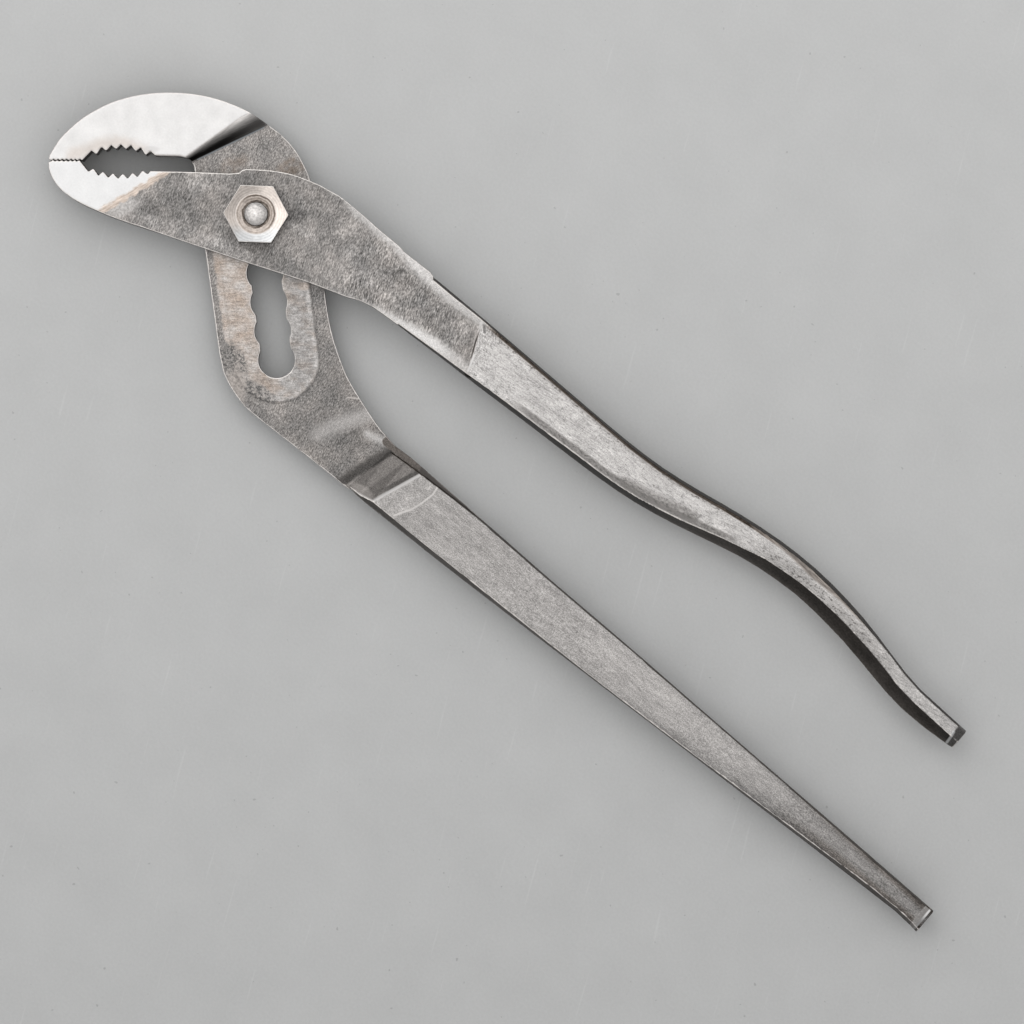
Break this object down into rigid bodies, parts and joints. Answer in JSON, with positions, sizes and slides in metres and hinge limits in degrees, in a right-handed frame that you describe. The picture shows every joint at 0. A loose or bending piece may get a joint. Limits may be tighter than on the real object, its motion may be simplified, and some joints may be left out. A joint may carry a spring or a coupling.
{
  "type": "water pump pliers",
  "caption": "Slip-joint pliers with offset toothed jaws, a scalloped adjusting slot, a nut and bolt pivot and two long bare steel handles.",
  "frame": {"origin": "On the pivot axis, on the rear face of the bolt head, which is the face that the closed tool rests on.", "axes": "+X along the handles, away from the jaws. +Y across them, towards the front handle. +Z along the pivot axis, from the bolt head to the nut."},
  "size_m": [0.2515, 0.0525, 0.0182],
  "materials": {
    "back_steel": "forged steel, dull and pitted, with a polished jaw and a ground band round the slot",
    "front_steel": "forged steel, dull and pitted, with a polished jaw and bright edges",
    "bolt_steel": "turned steel with a bright domed end",
    "nut_steel": "satin steel with turned rings on its face"
  },
  "bodies": {
    "back_lever": {"back_lever": "back_steel"},
    "pivot": {"pivot_bolt": "bolt_steel", "hex_nut": "nut_steel"},
    "front_lever": {"front_lever": "front_steel"}
  },
  "joints": [
    {"name": "slot_slide", "type": "slide", "parent": "back_lever", "child": "pivot", "axis": [0.7396, -0.673, 0], "range_m": [0, 0.0315]},
    {"name": "jaw_hinge", "type": "hinge", "parent": "pivot", "child": "front_lever", "pos_m": [0, 0, 0.0078], "axis": [0, 0, 1], "range_deg": [0, 50]}
  ]
}
